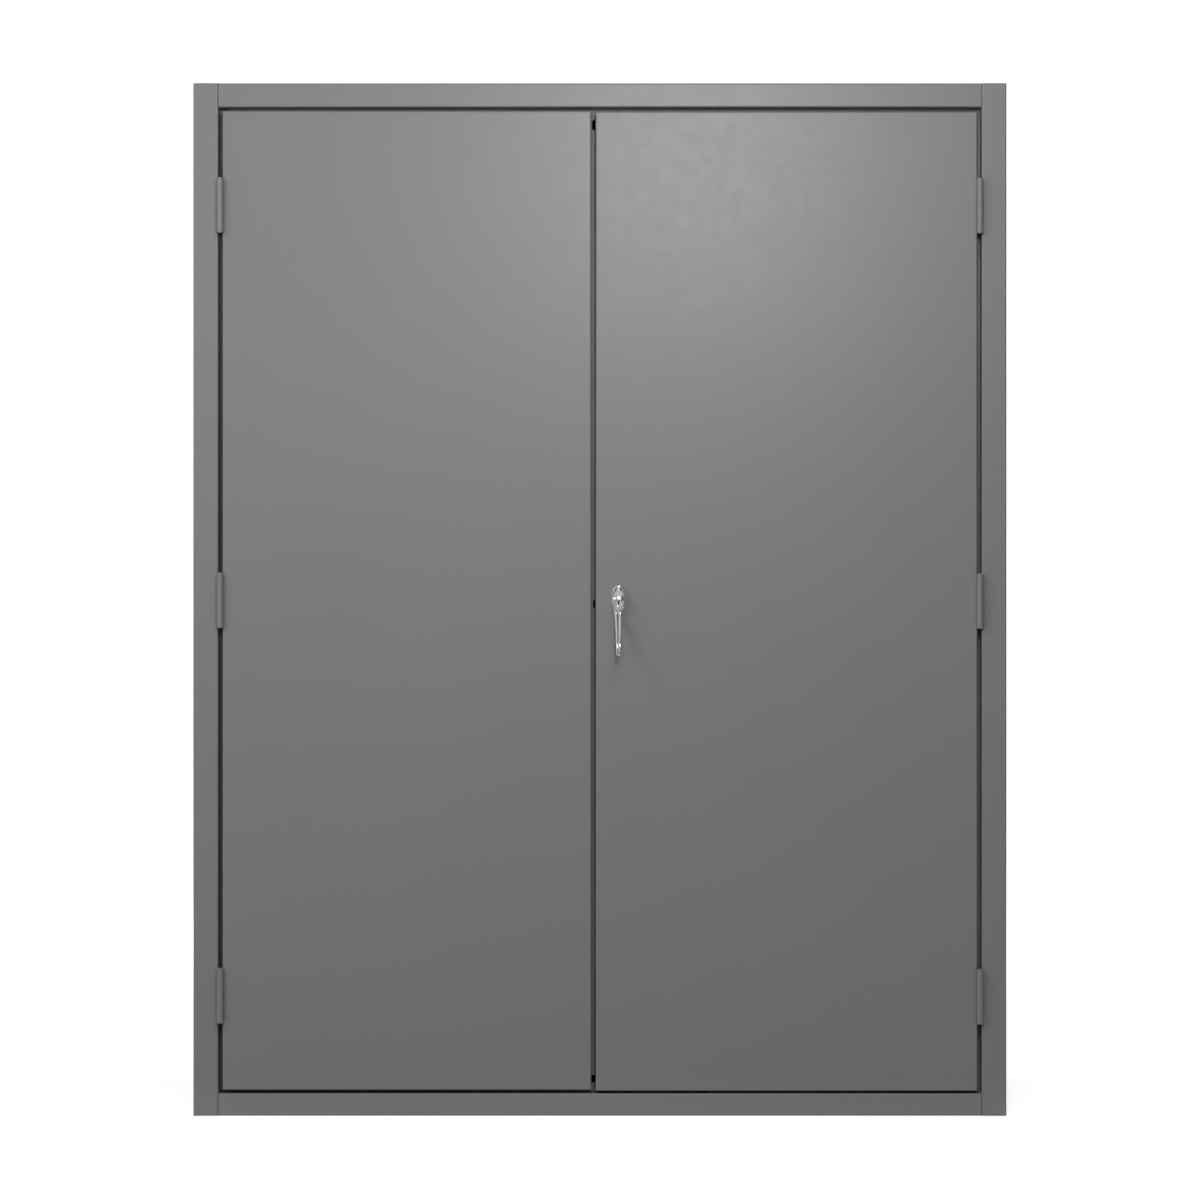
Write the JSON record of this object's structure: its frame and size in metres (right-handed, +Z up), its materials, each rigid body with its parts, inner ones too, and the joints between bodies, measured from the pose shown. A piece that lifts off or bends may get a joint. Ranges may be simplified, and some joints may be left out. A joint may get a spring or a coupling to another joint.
{
  "type": "tool cabinet with doors",
  "caption": "Tall steel storage cabinet with hinged flush doors, a lever handle that drives a latch plate and lock rods, and adjustable shelves inside.",
  "frame": {"origin": "middle of the base, at floor level, in the middle of the overall box", "axes": "+Z up, the doors and the handle face -Y, +X to the right as seen from the front"},
  "size_m": [1.524, 0.6573, 1.935],
  "materials": {
    "grey_paint": "satin grey baked enamel with a slight orange peel",
    "chrome": "polished chrome plate",
    "zinc_plate": "bright zinc plate with a fine grain",
    "rubber": "matte black rubber",
    "white_nylon": "matte natural nylon"
  },
  "bodies": {
    "cabinet": {"left_side_panel": "grey_paint", "right_side_panel": "grey_paint", "top_panel": "grey_paint", "bottom_panel": "grey_paint", "back_panel": "grey_paint", "top_door_stop": "grey_paint", "bottom_door_stop": "grey_paint", "floor_channels": "grey_paint", "front_left_standard": "grey_paint", "rear_left_standard": "grey_paint", "front_right_standard": "grey_paint", "rear_right_standard": "grey_paint", "shelf_1": "grey_paint", "shelf_2": "grey_paint", "shelf_3": "grey_paint", "shelf_4": "grey_paint", "shelf_channel_1": "grey_paint", "shelf_channel_2": "grey_paint", "shelf_channel_3": "grey_paint", "shelf_channel_4": "grey_paint", "shelf_clips": "zinc_plate", "left_upper_frame_leaf": "grey_paint", "left_middle_frame_leaf": "grey_paint", "left_lower_frame_leaf": "grey_paint", "right_upper_frame_leaf": "grey_paint", "right_middle_frame_leaf": "grey_paint", "right_lower_frame_leaf": "grey_paint", "left_hinge_pins": "grey_paint", "right_hinge_pins": "grey_paint"},
    "left_door": {"left_door_pan": "grey_paint", "left_door_stiffener": "grey_paint", "meeting_strip": "grey_paint", "left_door_bumpers": "rubber", "left_upper_door_leaf": "grey_paint", "left_middle_door_leaf": "grey_paint", "left_lower_door_leaf": "grey_paint"},
    "right_door": {"right_door_pan": "grey_paint", "right_door_stiffener": "grey_paint", "right_door_bumpers": "rubber", "right_upper_door_leaf": "grey_paint", "right_middle_door_leaf": "grey_paint", "right_lower_door_leaf": "grey_paint", "upper_rod_guide": "zinc_plate", "lower_rod_guide": "zinc_plate", "rod_bushes": "white_nylon", "handle_base": "chrome", "handle_backing_plate": "zinc_plate", "handle_screws": "zinc_plate"},
    "handle": {"lever_handle": "chrome", "lock_body": "chrome", "handle_spindle": "zinc_plate", "latch_plate": "zinc_plate", "latch_washer": "zinc_plate", "latch_nut": "zinc_plate"},
    "lock_plug": {"lock_plug": "chrome"},
    "upper_lock_rod": {"upper_lock_rod": "zinc_plate", "upper_rod_clip": "zinc_plate"},
    "lower_lock_rod": {"lower_lock_rod": "zinc_plate", "lower_rod_clip": "zinc_plate"}
  },
  "joints": [
    {"name": "left_door_swing", "type": "hinge", "parent": "cabinet", "child": "left_door", "pos_m": [-0.7113, -0.2886, 0.96575], "axis": [0, 0, -1], "range_deg": [0, 180]},
    {"name": "right_door_swing", "type": "hinge", "parent": "cabinet", "child": "right_door", "pos_m": [0.7113, -0.2906, 0.96575], "axis": [0, 0, 1], "range_deg": [0, 180]},
    {"name": "handle_turn", "type": "hinge", "parent": "right_door", "child": "handle", "pos_m": [0.0347, -0.28375, 0.96675], "axis": [0, -1, 0], "range_deg": [0, 90]},
    {"name": "lock_plug_turn", "type": "hinge", "parent": "handle", "child": "lock_plug", "pos_m": [0.0347, -0.30375, 0.96175], "axis": [0, -1, 0], "range_deg": [0, 90]},
    {"name": "upper_rod_slide", "type": "slide", "parent": "right_door", "child": "upper_lock_rod", "axis": [0, 0, 1], "range_m": [0, 0.03]},
    {"name": "lower_rod_slide", "type": "slide", "parent": "right_door", "child": "lower_lock_rod", "axis": [0, 0, -1], "range_m": [0, 0.03]}
  ],
  "couplings": [
    {"joint": "upper_rod_slide", "follows": "handle_turn", "m_per_rad": 0.019099},
    {"joint": "lower_rod_slide", "follows": "handle_turn", "m_per_rad": 0.019099}
  ]
}
